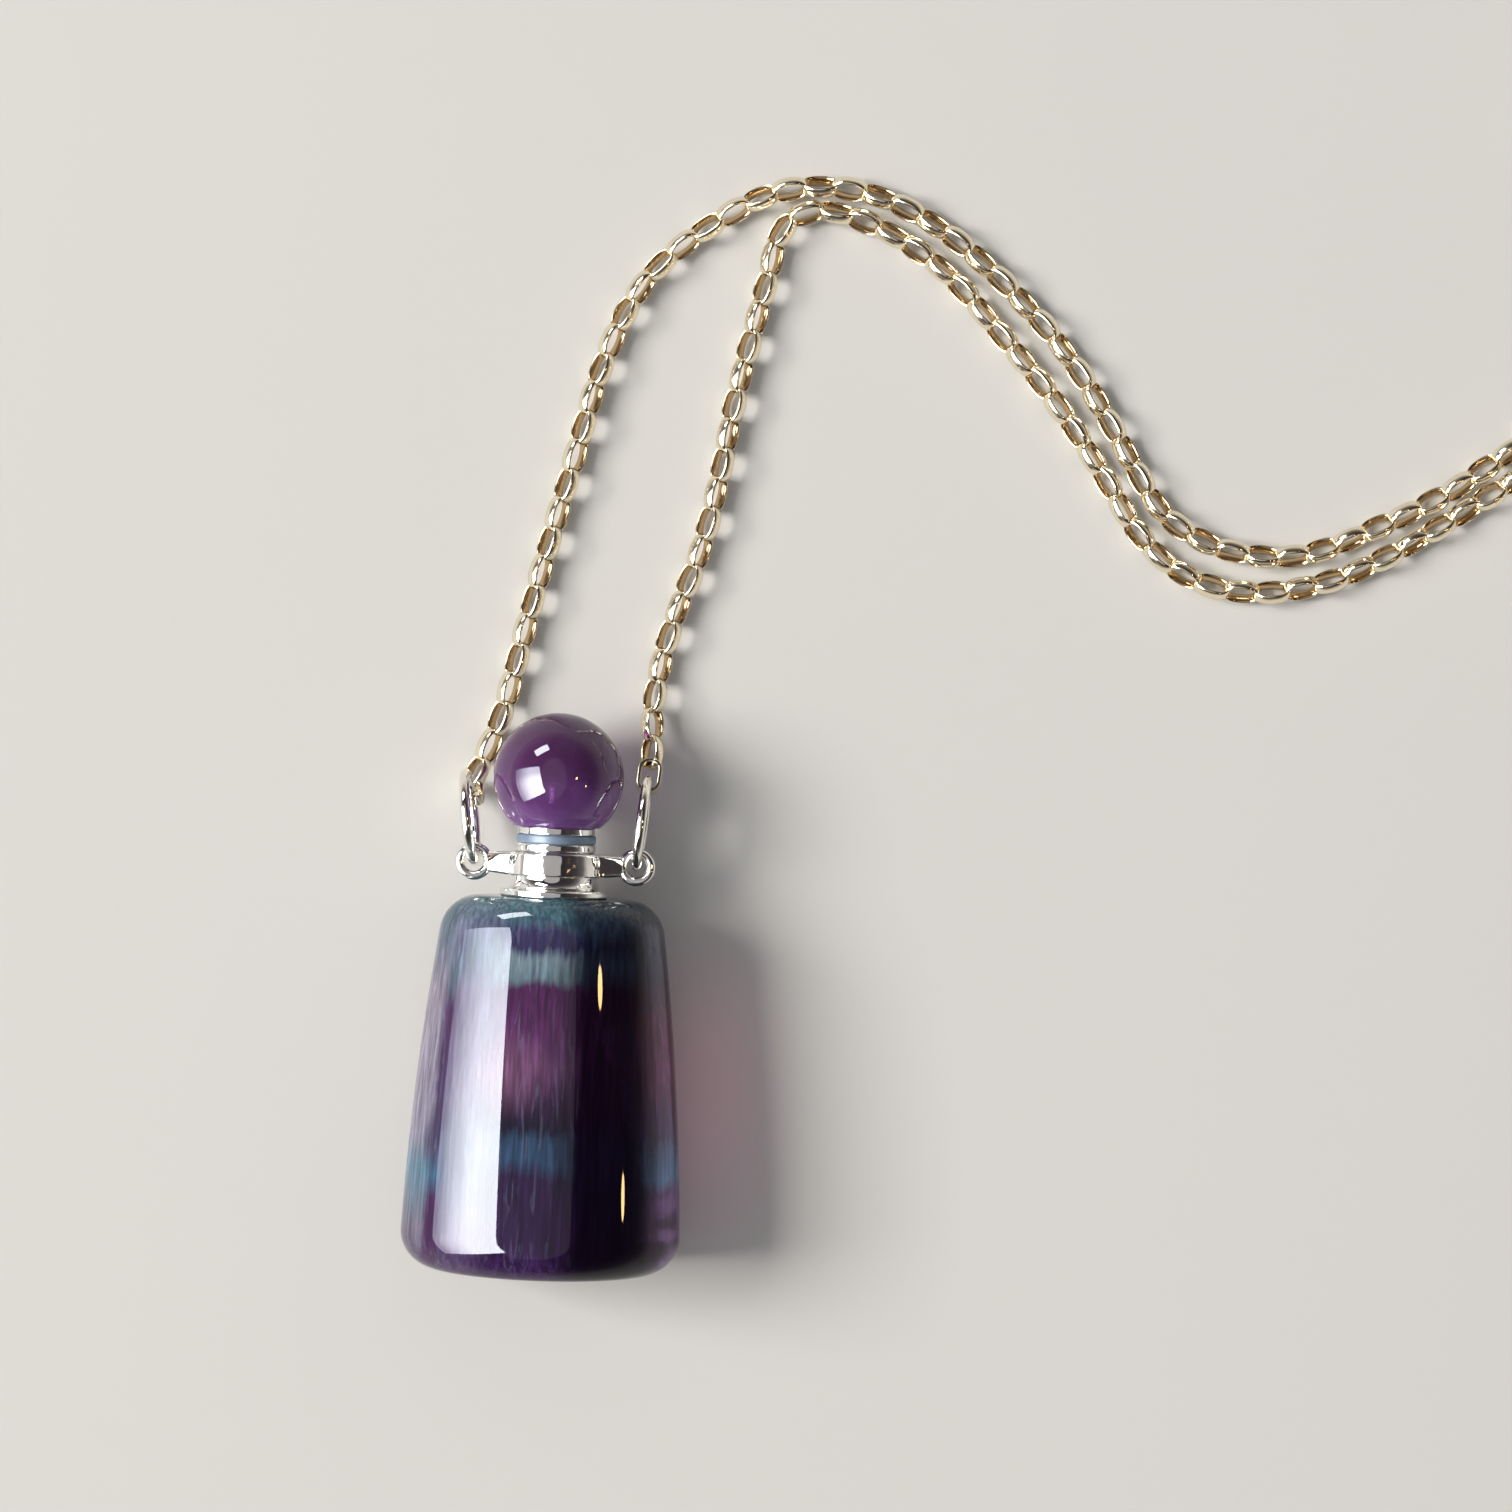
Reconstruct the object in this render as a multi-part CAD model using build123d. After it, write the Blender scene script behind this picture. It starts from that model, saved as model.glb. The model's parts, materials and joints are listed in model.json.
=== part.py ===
from build123d import *
import os
from math import cos, pi, radians, sin, tan

# A pendant necklace, lying on its back on a table. The pendant is a small flattened crystal bottle with
# a silver neck, a screw stopper under a stone bead, and two jump rings that carry the chain.
# Millimetres. +Y is the pendant's axis, from the base to the bead, and +Z points up, away from the table.
# The origin is under the middle of the pendant, on the table.

# ---- driving dimensions ----

# crystal bottle
AXIS_HEIGHT = 6.3            # the pendant's axis over the table
BOTTLE_BASE_Y = -21.3
BOTTLE_HEIGHT = 28.5
SHOULDER_RADIUS = 8.2        # half the width that the sides would have at the very top
BELLY_RADIUS = 9.85
BELLY_DEPTH = 13.2           # how far under the top the belly radius is measured
BASE_RADIUS = 10.75
SHOULDER_ROUNDING = 3.0
BASE_ROUNDING = 2.8
THICKNESS_RATIO = 0.68       # front-to-back thickness over width
RESERVOIR_RADIUS = 2.5
RESERVOIR_DEPTH = 12.0
CUTTER_SIZE = 40.0           # of the block that cuts the flat back, larger than the bottle
OVERCUT = 1.0                # how far a cutting tool reaches past a face
BOTTLE_TOP_Y = BOTTLE_BASE_Y + BOTTLE_HEIGHT

# silver neck, from the bottle's top upwards
FLANGE_RADIUS = 4.15
FLANGE_THICKNESS = 0.62
WAIST_HEIGHT = 0.95
WAIST_LOWER_RADIUS = 3.7
WAIST_UPPER_RADIUS = 3.2
WAIST_MIDDLE_RADIUS = 3.3
SPIGOT_DEPTH = 3.0
NECK_RADIUS = 2.8            # under the yoke
NECK_BORE_RADIUS = 2.05
RIM_RADIUS = 3.05
RIM_THICKNESS = 0.68
RIM_ROUNDING = 0.18          # of the rim and the flange

# yoke with its two ears
YOKE_RADIUS = 3.7
YOKE_HEIGHT = 1.88
EAR_OFFSET = 6.22
EAR_RING_RADIUS = 1.09
EAR_WIRE_RADIUS = 0.36
LUG_END_HEIGHT = 1.55        # the lugs are as tall as the band beside it, and narrow to this at the ears
LUG_ROOT_THICKNESS = 3.0     # front to back, inside the band
LUG_END_THICKNESS = 0.8
LUG_INSIDE_BAND = 0.6
LUG_ROUNDING = 0.3
YOKE_ROUNDING = 0.25

# stopper
GASKET_THICKNESS = 0.62
GASKET_BORE_RADIUS = 2.15
GASKET_ROUNDING = 0.12
CAP_RADIUS = 2.95
CAP_THICKNESS = 0.64
CAP_ROUNDING = 0.15
PLUG_RADIUS = 2.0
PLUG_ROOT_RADIUS = 1.75
PLUG_LENGTH = 3.6
THREAD_PITCH = 0.6
THREAD_COUNT = 4
THREAD_START = 0.3           # from the plug's tip
THREAD_ROUNDING = 0.08
BEAD_RADIUS = 5.0
BEAD_FLAT_DISTANCE = 3.7     # from the bead's centre to its flat seat
PIN_RADIUS = 0.8
PIN_IN_CAP = 0.3
PIN_IN_BEAD = 3.2

# jump rings
RING_RADIUS = 3.35           # to the middle of the wire
RING_WIRE_RADIUS = 0.39
RING_HEIGHT = 5.9
LEFT_RING_LEAN = 8.0         # degrees outwards from the pendant's axis
RIGHT_RING_LEAN = 5.0
LEFT_HOOK_ANGLE = 25.0       # where the end link hangs, in degrees up from the ring's lowest point
RIGHT_HOOK_ANGLE = 62.0

# chain links
LINK_LENGTH = 2.96
LINK_WIDTH = 1.88
LINK_WALL = 0.3
LINK_BAND = 0.9
LINK_EDGE_ROUNDING = 0.08
LINK_PLAY = 0.05

# chain, as plain tubes and coils
CHAIN_RADIUS = 0.9
CHAIN_HEIGHT = 1.0           # the tube's middle over the table
COIL_START_RADIUS = 13.0
TRACK_PITCH = 2.15
LEFT_COIL_CENTRE = (88.0, 71.0)
LEFT_COIL_TURNS = 1.26
LEFT_COIL_START_ANGLE = -60.0
RIGHT_COIL_CENTRE = (89.5, 37.0)
RIGHT_COIL_TURNS = 1.69
RIGHT_COIL_START_ANGLE = 110.0

# spring-ring clasp, flat in the left coil's middle
CLASP_RADIUS = 2.5
CLASP_TUBE_RADIUS = 0.75
CLASP_TUBE_BORE = 0.5
CLASP_EYE_RADIUS = 0.85
CLASP_EYE_WIRE = 0.28
CLASP_EYE_SINK = 0.15        # how far the eye's wire goes into the ring's side
CLASP_CLEARANCE = 0.05       # under the clasp, and between its eye and the small ring
CHAMBER_START = 173.0        # the spring's chamber, open to the gap
SOCKET_SPAN = (109.0, 122.0) # the hole that the closed bolt's tip enters
CLASP_DIRECTION = 48.0       # degrees, from the coil's middle to the clasp's eye
CLASP_GAP = (120.0, 175.0)   # the opening, in degrees round from the eye
CLASP_SLOT = (181.0, 256.0)  # the thumb knob's slot
CLASP_CHAMBER_END = 335.0
BOLT_RADIUS = 0.43
BOLT_SPAN = (112.0, 205.0)
KNOB_ANGLE = 187.0
KNOB_RADIUS = 0.25
KNOB_LENGTH = 1.25           # from the bolt's middle outwards
SLOT_HEIGHT = 0.7
SPRING_SPAN = (206.0, 332.0)
SPRING_WIRE_RADIUS = 0.35
CLASP_RING_RADIUS = 1.0
CLASP_RING_WIRE = 0.22
LAST_LINK_SLOPE = 12.0       # degrees down from the clasp's small ring to the table
END_RING_RADIUS = 1.75
END_RING_WIRE = 0.35
END_RING_DIRECTION = -158.0
END_RING_TILT = 8.0          # the last link holds one side of the end ring up
LINK_CLEARANCE = 0.02        # under a link on edge

# the chain's routes, from the jump rings to the coils, as x, y and height
LEFT_ROUTE = [
    (-7.0, 15.95, 1.05), (-6.0, 18.0, 1.0), (-4.7, 21.8, 1.0), (-3.6, 27.0, 1.0), (-2.0, 34.0, 1.0),
    (0.0, 41.6, 1.0), (1.6, 48.6, 1.0), (4.5, 55.4, 1.0), (9.3, 59.7, 1.0), (15.2, 63.2, 1.0),
    (21.6, 63.3, 1.0), (27.6, 60.7, 1.0), (33.3, 56.1, 1.0), (38.5, 50.6, 1.0), (42.8, 43.8, 1.0),
    (45.8, 38.6, 1.0), (50.6, 36.0, 1.0), (56.8, 35.6, 1.0), (62.5, 38.2, 1.0), (67.9, 41.0, 1.0),
    (72.8, 44.7, 1.0), (79.2, 49.4, 1.0), (86.3, 53.9, 1.0), (94.5, 59.1, 1.0),
]
RIGHT_ROUTE = [
    (6.98, 18.1, 2.9), (6.8, 20.5, 1.7), (6.9, 23.6, 1.0), (7.9, 28.4, 1.0), (9.9, 33.8, 1.0),
    (11.2, 39.5, 1.0), (12.0, 45.2, 1.0), (13.2, 50.8, 1.0), (14.4, 55.8, 1.0), (15.2, 60.2, 1.0),
    (18.4, 61.7, 1.0), (23.4, 60.2, 1.0), (28.4, 57.1, 1.0), (32.7, 52.4, 1.0), (37.2, 47.4, 1.0),
    (41.2, 41.7, 1.0), (44.4, 36.5, 1.0), (48.6, 33.4, 1.0), (54.0, 32.7, 1.0), (59.6, 34.0, 1.0),
    (65.0, 36.8, 1.0), (72.6, 42.0, 1.0), (78.6, 46.1, 1.0), (85.0, 49.6, 1.0),
]
UPPER_POINTS = 4             # the upper stretch, which bends with the jump ring, ends past this many points
ARC_SHARE = 0.45             # how much of the shorter run an arc takes up

# ---- places along the pendant's axis ----

FLANGE_TOP_Y = BOTTLE_TOP_Y + FLANGE_THICKNESS
WAIST_TOP_Y = FLANGE_TOP_Y + WAIST_HEIGHT
YOKE_TOP_Y = WAIST_TOP_Y + YOKE_HEIGHT
YOKE_MIDDLE_Y = (WAIST_TOP_Y + YOKE_TOP_Y) / 2
RIM_TOP_Y = YOKE_TOP_Y + RIM_THICKNESS
GASKET_TOP_Y = RIM_TOP_Y + GASKET_THICKNESS
CAP_TOP_Y = GASKET_TOP_Y + CAP_THICKNESS
BEAD_CENTRE_Y = CAP_TOP_Y + BEAD_FLAT_DISTANCE

# The pendant's own axis, as a plane whose normal is +Y and whose x is +X.
AXIS_PLANE = Plane(origin=(0, 0, AXIS_HEIGHT), x_dir=(1, 0, 0), z_dir=(0, 1, 0))


# ---- shared shapes ----

def along_axis(shape):
    """Puts a shape that was built round Z onto the pendant's axis."""
    return AXIS_PLANE.location * shape


def disc(radius, start_y, thickness, edge=0.0):
    """A disc on the pendant's axis, with rounded rims if edge is given."""
    shape = Cylinder(radius, thickness, align=(Align.CENTER, Align.CENTER, Align.MIN))
    if edge:
        shape = fillet(shape.edges().filter_by(GeomType.CIRCLE), edge)
    return along_axis(Pos(0, 0, start_y) * shape)


def wire_ring(radius, wire_radius):
    """A round wire ring about Z at the origin."""
    return Torus(radius, wire_radius)


def ring_arc(radius, section_radius, start_angle, end_angle):
    """A stretch of a round-section ring about Z, between two angles in degrees."""
    section = Pos(radius, 0, 0) * (Plane.XZ * Circle(section_radius))
    return Rot(0, 0, start_angle) * revolve(section, Axis.Z, end_angle - start_angle)


def chain_link():
    """One band link: long axis on X, opening seen along Z."""
    outline = SlotOverall(LINK_LENGTH, LINK_WIDTH)
    opening = SlotOverall(LINK_LENGTH - 2 * LINK_WALL, LINK_WIDTH - 2 * LINK_WALL)
    band = Pos(0, 0, -LINK_BAND / 2) * extrude(outline - opening, LINK_BAND)
    return fillet(band.edges().group_by(Axis.Z)[0] + band.edges().group_by(Axis.Z)[-1], LINK_EDGE_ROUNDING)


# ---- the pendant ----

def crystal_bottle():
    """Turned outline, squeezed from front to back, with a flat on its back and a drilled reservoir."""
    outline = Polyline((BASE_RADIUS, 0), (0, 0), (0, BOTTLE_HEIGHT), (SHOULDER_RADIUS, BOTTLE_HEIGHT))
    side = ThreePointArc(
        (SHOULDER_RADIUS, BOTTLE_HEIGHT),
        (BELLY_RADIUS, BOTTLE_HEIGHT - BELLY_DEPTH),
        (BASE_RADIUS, 0),
    )
    section = make_face([*outline.edges(), side])
    outer_corners = section.vertices().filter_by(lambda corner: corner.X > 1).sort_by(Axis.Y)
    section = fillet(outer_corners[0], BASE_ROUNDING)
    top_corner = section.vertices().filter_by(lambda corner: corner.X > 1).sort_by(Axis.Y)[-1]
    section = fillet(top_corner, SHOULDER_ROUNDING)
    round_body = revolve(section, Axis.Y)
    body = Pos(0, BOTTLE_BASE_Y, AXIS_HEIGHT) * scale(round_body, by=(1, 1, THICKNESS_RATIO))
    under_table = Pos(0, BOTTLE_BASE_Y + BOTTLE_HEIGHT / 2, 0) * Box(
        CUTTER_SIZE, CUTTER_SIZE, CUTTER_SIZE, align=(Align.CENTER, Align.CENTER, Align.MAX)
    )
    tip_y = BOTTLE_TOP_Y - RESERVOIR_DEPTH + RESERVOIR_RADIUS
    drill = disc(RESERVOIR_RADIUS, tip_y, BOTTLE_TOP_Y - tip_y)
    drill_tip = Pos(0, tip_y, AXIS_HEIGHT) * Sphere(RESERVOIR_RADIUS)
    return body - under_table - drill - drill_tip


def neck_sleeve():
    """Flange, waist, neck and rim in one turned piece, with a spigot glued into the bottle."""
    outline = Polyline(
        (NECK_BORE_RADIUS, BOTTLE_TOP_Y - SPIGOT_DEPTH),
        (RESERVOIR_RADIUS, BOTTLE_TOP_Y - SPIGOT_DEPTH),
        (RESERVOIR_RADIUS, BOTTLE_TOP_Y),
        (FLANGE_RADIUS, BOTTLE_TOP_Y),
        (FLANGE_RADIUS, FLANGE_TOP_Y),
        (WAIST_LOWER_RADIUS, FLANGE_TOP_Y),
    )
    waist = ThreePointArc(
        (WAIST_LOWER_RADIUS, FLANGE_TOP_Y),
        (WAIST_MIDDLE_RADIUS, (FLANGE_TOP_Y + WAIST_TOP_Y) / 2),
        (WAIST_UPPER_RADIUS, WAIST_TOP_Y),
    )
    upper = Polyline(
        (WAIST_UPPER_RADIUS, WAIST_TOP_Y),
        (NECK_RADIUS, WAIST_TOP_Y),
        (NECK_RADIUS, YOKE_TOP_Y),
        (RIM_RADIUS, YOKE_TOP_Y),
        (RIM_RADIUS, RIM_TOP_Y),
        (NECK_BORE_RADIUS, RIM_TOP_Y),
        (NECK_BORE_RADIUS, BOTTLE_TOP_Y - SPIGOT_DEPTH),
    )
    section = make_face([*outline.edges(), waist, *upper.edges()])
    sleeve = revolve(section, Axis.Y)
    rims = [
        edge for edge in sleeve.edges().filter_by(GeomType.CIRCLE)
        if round(edge.radius, 2) in (FLANGE_RADIUS, RIM_RADIUS)
    ]
    return Pos(0, 0, AXIS_HEIGHT) * fillet(rims, RIM_ROUNDING)


def tapered_outline(start, start_size, end, end_size):
    """A four-sided outline along X, as wide as given at its two ends."""
    return Polyline(
        (start, -start_size / 2),
        (end, -end_size / 2),
        (end, end_size / 2),
        (start, start_size / 2),
        close=True,
    )


def yoke_lug():
    """Wedge from inside the band, on the left, to the ear on the right, lower and thinner towards the ear."""
    start = YOKE_RADIUS - LUG_INSIDE_BAND
    end = EAR_OFFSET - EAR_RING_RADIUS
    from_front = make_face(tapered_outline(start, YOKE_HEIGHT, end, LUG_END_HEIGHT))
    from_top = make_face(Rot(90, 0, 0) * tapered_outline(start, LUG_ROOT_THICKNESS, end, LUG_END_THICKNESS))
    wedge = extrude(from_front, LUG_ROOT_THICKNESS, both=True) & extrude(from_top, YOKE_HEIGHT, both=True)
    long_edges = wedge.edges().filter_by(lambda edge: abs((edge % 0.5).X) > 0.8)
    return fillet(long_edges, LUG_ROUNDING)


def yoke_collar():
    """Band round the neck, with a lug and a loop ear on each side."""
    band = disc(YOKE_RADIUS, WAIST_TOP_Y, YOKE_HEIGHT, edge=YOKE_ROUNDING)
    for turn in (0, 180):
        lug = Pos(0, YOKE_MIDDLE_Y, AXIS_HEIGHT) * Rot(0, 0, turn) * yoke_lug()
        ear_centre = Pos(0, YOKE_MIDDLE_Y, AXIS_HEIGHT) * Rot(0, 0, turn) * Pos(EAR_OFFSET, 0, 0)
        band += lug - ear_centre * Cylinder(EAR_RING_RADIUS, LUG_ROOT_THICKNESS)
        band += ear_centre * wire_ring(EAR_RING_RADIUS, EAR_WIRE_RADIUS)
    return band - disc(NECK_RADIUS, WAIST_TOP_Y - OVERCUT, YOKE_HEIGHT + 2 * OVERCUT)


def gasket():
    """Sealing ring between the neck's rim and the cap."""
    ring = disc(RIM_RADIUS, RIM_TOP_Y, GASKET_THICKNESS, edge=GASKET_ROUNDING)
    return ring - disc(GASKET_BORE_RADIUS, RIM_TOP_Y - OVERCUT, GASKET_THICKNESS + 2 * OVERCUT)


def stopper_cap():
    """Cap disc with a ridged plug that goes down into the neck."""
    cap = disc(CAP_RADIUS, GASKET_TOP_Y, CAP_THICKNESS, edge=CAP_ROUNDING)
    plug_tip_y = GASKET_TOP_Y - PLUG_LENGTH
    cap += disc(PLUG_ROOT_RADIUS, plug_tip_y, PLUG_LENGTH + CAP_THICKNESS / 4)
    for turn in range(THREAD_COUNT):
        ridge_y = plug_tip_y + THREAD_START + turn * THREAD_PITCH
        cap += disc(PLUG_RADIUS, ridge_y, THREAD_PITCH / 2, edge=THREAD_ROUNDING)
    return cap - disc(PIN_RADIUS, CAP_TOP_Y - PIN_IN_CAP, PIN_IN_CAP + OVERCUT)


def ball_pin():
    """Peg that joins the bead to the cap."""
    return disc(PIN_RADIUS, CAP_TOP_Y - PIN_IN_CAP, PIN_IN_CAP + PIN_IN_BEAD)


def stopper_ball():
    """Stone bead with a flat seat and a drilled hole for the peg."""
    bead = Pos(0, BEAD_CENTRE_Y, AXIS_HEIGHT) * Sphere(BEAD_RADIUS)
    under_seat = Pos(0, CAP_TOP_Y, AXIS_HEIGHT) * Box(
        2 * BEAD_RADIUS, 2 * BEAD_RADIUS, 2 * BEAD_RADIUS, align=(Align.CENTER, Align.MAX, Align.CENTER)
    )
    return bead - under_seat - disc(PIN_RADIUS, CAP_TOP_Y - OVERCUT, PIN_IN_BEAD + OVERCUT)


# ---- the jump rings and their end links ----

def ring_plane(side, lean):
    """The plane of one jump ring: x runs from the ear to the ring's far side, y points up."""
    heading = radians(lean)
    outward = Vector(side * sin(heading), cos(heading), 0)
    ear = Vector(side * EAR_OFFSET, YOKE_MIDDLE_Y, RING_HEIGHT)
    centre = ear + outward * RING_RADIUS
    return Plane(origin=centre, x_dir=outward, z_dir=outward.cross(Vector(0, 0, 1)))


def jump_ring(side, lean):
    """Wire ring that stands on edge through the ear."""
    return ring_plane(side, lean).location * wire_ring(RING_RADIUS, RING_WIRE_RADIUS)


def end_link(side, lean, hook_angle):
    """The chain's first link, hooked round the jump ring's wire and pulled straight out from it."""
    hook = radians(hook_angle)
    distance = RING_RADIUS - RING_WIRE_RADIUS - LINK_PLAY + LINK_LENGTH / 2 - LINK_WALL
    pull = Plane(
        origin=(distance * sin(hook), -distance * cos(hook), 0),
        x_dir=(sin(hook), -cos(hook), 0),
        z_dir=(cos(hook), sin(hook), 0),
    )
    return ring_plane(side, lean).location * pull.location * chain_link()


# ---- the chain ----

def corner_radii(route):
    """The largest arc that each corner's two runs allow."""
    radii = []
    for before, corner, after in zip(route, route[1:], route[2:]):
        arriving = Vector(*corner) - Vector(*before)
        leaving = Vector(*after) - Vector(*corner)
        shorter = min(arriving.length, leaving.length)
        half_turn = radians(arriving.get_angle(leaving)) / 2
        radii.append(ARC_SHARE * shorter / tan(half_turn))
    return radii


def chain_tube(route, radii):
    """A plain tube along straight runs joined by tangent arcs."""
    path = FilletPolyline(*route, radius=radii)
    section = Plane(origin=path @ 0, z_dir=path % 0) * Circle(CHAIN_RADIUS)
    tube = sweep(section, path)
    print("  tube volume over section times length:",
          round(tube.volume / (pi * CHAIN_RADIUS ** 2 * path.length), 4), "length", round(path.length, 1))
    return tube


def coil_inner_radius(turns):
    """The free radius inside a coil."""
    return COIL_START_RADIUS - turns * TRACK_PITCH - CHAIN_RADIUS


def chain_coil(centre, turns):
    """The outer shape of a flat coil of chain."""
    height = 2 * CHAIN_RADIUS
    ring = Cylinder(COIL_START_RADIUS + CHAIN_RADIUS, height) - Cylinder(coil_inner_radius(turns), height)
    return Pos(*centre, CHAIN_HEIGHT) * ring


def chain_strand(name, route, coil):
    """The two stretches of one strand: the upper one by the jump ring, and the run to the coil."""
    radii = corner_radii(route)
    print(name, "bend radii:", " ".join(f"{radius:.1f}" for radius in radii))
    last, following = Vector(*route[UPPER_POINTS - 1]), Vector(*route[UPPER_POINTS])
    split = tuple((last + following) * 0.5)
    upper = chain_tube(route[:UPPER_POINTS] + [split], radii[:UPPER_POINTS - 1])
    run = chain_tube([split] + route[UPPER_POINTS:], radii[UPPER_POINTS - 1:])
    return upper, run - coil


# ---- the ends of the chain ----

def clasp_location():
    """The clasp's middle, with x towards its eye."""
    reach = (CLASP_RADIUS + CLASP_TUBE_RADIUS + CLASP_EYE_RADIUS + 2 * CLASP_RING_RADIUS
             - CLASP_RING_WIRE + LINK_LENGTH - LINK_WALL)
    offset = coil_inner_radius(LEFT_COIL_TURNS) - reach
    direction = radians(CLASP_DIRECTION)
    return Pos(
        LEFT_COIL_CENTRE[0] + offset * cos(direction),
        LEFT_COIL_CENTRE[1] + offset * sin(direction),
        CLASP_TUBE_RADIUS + CLASP_CLEARANCE,
    ) * Rot(0, 0, CLASP_DIRECTION)


def clasp_body():
    """Hollow ring with an opening, a slot for the knob and an eye."""
    shell = ring_arc(CLASP_RADIUS, CLASP_TUBE_RADIUS, CLASP_GAP[1], CLASP_GAP[0] + 360)
    eye_distance = CLASP_RADIUS + CLASP_TUBE_RADIUS + CLASP_EYE_RADIUS - CLASP_EYE_SINK
    shell += Pos(eye_distance, 0, 0) * wire_ring(CLASP_EYE_RADIUS, CLASP_EYE_WIRE)
    chamber = ring_arc(CLASP_RADIUS, CLASP_TUBE_BORE, CHAMBER_START, CLASP_CHAMBER_END)
    socket = ring_arc(CLASP_RADIUS, CLASP_TUBE_BORE, *SOCKET_SPAN)
    slot_section = Pos(CLASP_RADIUS + CLASP_TUBE_BORE, 0, 0) * (Plane.XZ * Rectangle(1.0, SLOT_HEIGHT))
    slot = Rot(0, 0, CLASP_SLOT[0]) * revolve(slot_section, Axis.Z, CLASP_SLOT[1] - CLASP_SLOT[0])
    return clasp_location() * (shell - chamber - socket - slot)


def clasp_bolt():
    """Sliding bolt that closes the opening, with its thumb knob."""
    bolt = ring_arc(CLASP_RADIUS, BOLT_RADIUS, *BOLT_SPAN)
    knob = Rot(0, 0, KNOB_ANGLE) * Pos(CLASP_RADIUS, 0, 0) * Rot(0, 90, 0) * Cylinder(
        KNOB_RADIUS, KNOB_LENGTH, align=(Align.CENTER, Align.CENTER, Align.MIN)
    )
    return clasp_location() * (bolt + knob)


def clasp_spring():
    """Plain stand-in for the spring that pushes the bolt shut."""
    return clasp_location() * ring_arc(CLASP_RADIUS, SPRING_WIRE_RADIUS, *SPRING_SPAN)


def clasp_ring_distance():
    """From the clasp's middle to the middle of its small ring."""
    return CLASP_RADIUS + CLASP_TUBE_RADIUS + CLASP_EYE_RADIUS - CLASP_CLEARANCE + CLASP_RING_RADIUS


def clasp_ring():
    """Small ring that stands through the clasp's eye."""
    lift = CLASP_RING_RADIUS + CLASP_RING_WIRE - CLASP_TUBE_RADIUS
    return clasp_location() * Pos(clasp_ring_distance(), 0, lift) * Rot(90, 0, 0) * wire_ring(
        CLASP_RING_RADIUS, CLASP_RING_WIRE
    )


def left_last_link():
    """The left strand's last link, sloping down from the clasp's small ring to the table."""
    distance = CLASP_RING_RADIUS - CLASP_RING_WIRE - LINK_PLAY + LINK_LENGTH / 2 - LINK_WALL
    lift = CLASP_RING_RADIUS + CLASP_RING_WIRE - CLASP_TUBE_RADIUS
    ring_centre = Pos(clasp_ring_distance(), 0, lift)
    return clasp_location() * ring_centre * Rot(0, LAST_LINK_SLOPE, 0) * Pos(distance, 0, 0) * chain_link()


def end_ring_location():
    """The end ring's middle, with x towards the chain."""
    reach = END_RING_RADIUS - END_RING_WIRE - LINK_PLAY + LINK_LENGTH - LINK_WALL
    offset = coil_inner_radius(RIGHT_COIL_TURNS) - reach - LINK_PLAY
    direction = radians(END_RING_DIRECTION)
    return Pos(
        RIGHT_COIL_CENTRE[0] + offset * cos(direction),
        RIGHT_COIL_CENTRE[1] + offset * sin(direction),
        0,
    ) * Rot(0, 0, END_RING_DIRECTION)


def end_ring():
    """Plain ring that the clasp hooks on, tilted up where the last link holds it."""
    lowest = END_RING_WIRE + END_RING_RADIUS * sin(radians(END_RING_TILT))
    return end_ring_location() * Pos(0, 0, lowest) * Rot(0, -END_RING_TILT, 0) * wire_ring(
        END_RING_RADIUS, END_RING_WIRE
    )


def right_last_link():
    """The right strand's last link, on edge round the end ring."""
    distance = END_RING_RADIUS - END_RING_WIRE - LINK_PLAY + LINK_LENGTH / 2 - LINK_WALL
    height = LINK_WIDTH / 2 + LINK_CLEARANCE
    return end_ring_location() * Pos(distance, 0, height) * Rot(90, 0, 0) * chain_link()


# ---- all pieces ----

def build():
    """Every piece by its node's name."""
    left_coil = chain_coil(LEFT_COIL_CENTRE, LEFT_COIL_TURNS)
    right_coil = chain_coil(RIGHT_COIL_CENTRE, RIGHT_COIL_TURNS)
    left_upper, left_run = chain_strand("left chain", LEFT_ROUTE, left_coil)
    right_upper, right_run = chain_strand("right chain", RIGHT_ROUTE, right_coil)
    return {
        "crystal_bottle": crystal_bottle(),
        "neck_sleeve": neck_sleeve(),
        "yoke_collar": yoke_collar(),
        "gasket": gasket(),
        "stopper_cap": stopper_cap(),
        "ball_pin": ball_pin(),
        "stopper_ball": stopper_ball(),
        "left_jump_ring": jump_ring(-1, LEFT_RING_LEAN),
        "right_jump_ring": jump_ring(1, RIGHT_RING_LEAN),
        "left_end_link": end_link(-1, LEFT_RING_LEAN, LEFT_HOOK_ANGLE),
        "right_end_link": end_link(1, RIGHT_RING_LEAN, RIGHT_HOOK_ANGLE),
        "left_chain_upper": left_upper,
        "right_chain_upper": right_upper,
        "left_chain_run": left_run,
        "right_chain_run": right_run,
        "left_chain_coil": left_coil,
        "right_chain_coil": right_coil,
        "left_last_link": left_last_link(),
        "right_last_link": right_last_link(),
        "clasp_ring": clasp_ring(),
        "clasp_body": clasp_body(),
        "clasp_bolt": clasp_bolt(),
        "clasp_spring": clasp_spring(),
        "end_ring": end_ring(),
    }


os.makedirs("parts", exist_ok=True)
for node, shape in build().items():
    export_step(shape, f"parts/{node}.step")
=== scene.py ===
import json
import math
import random

import bpy
from mathutils import Matrix, Vector


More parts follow.
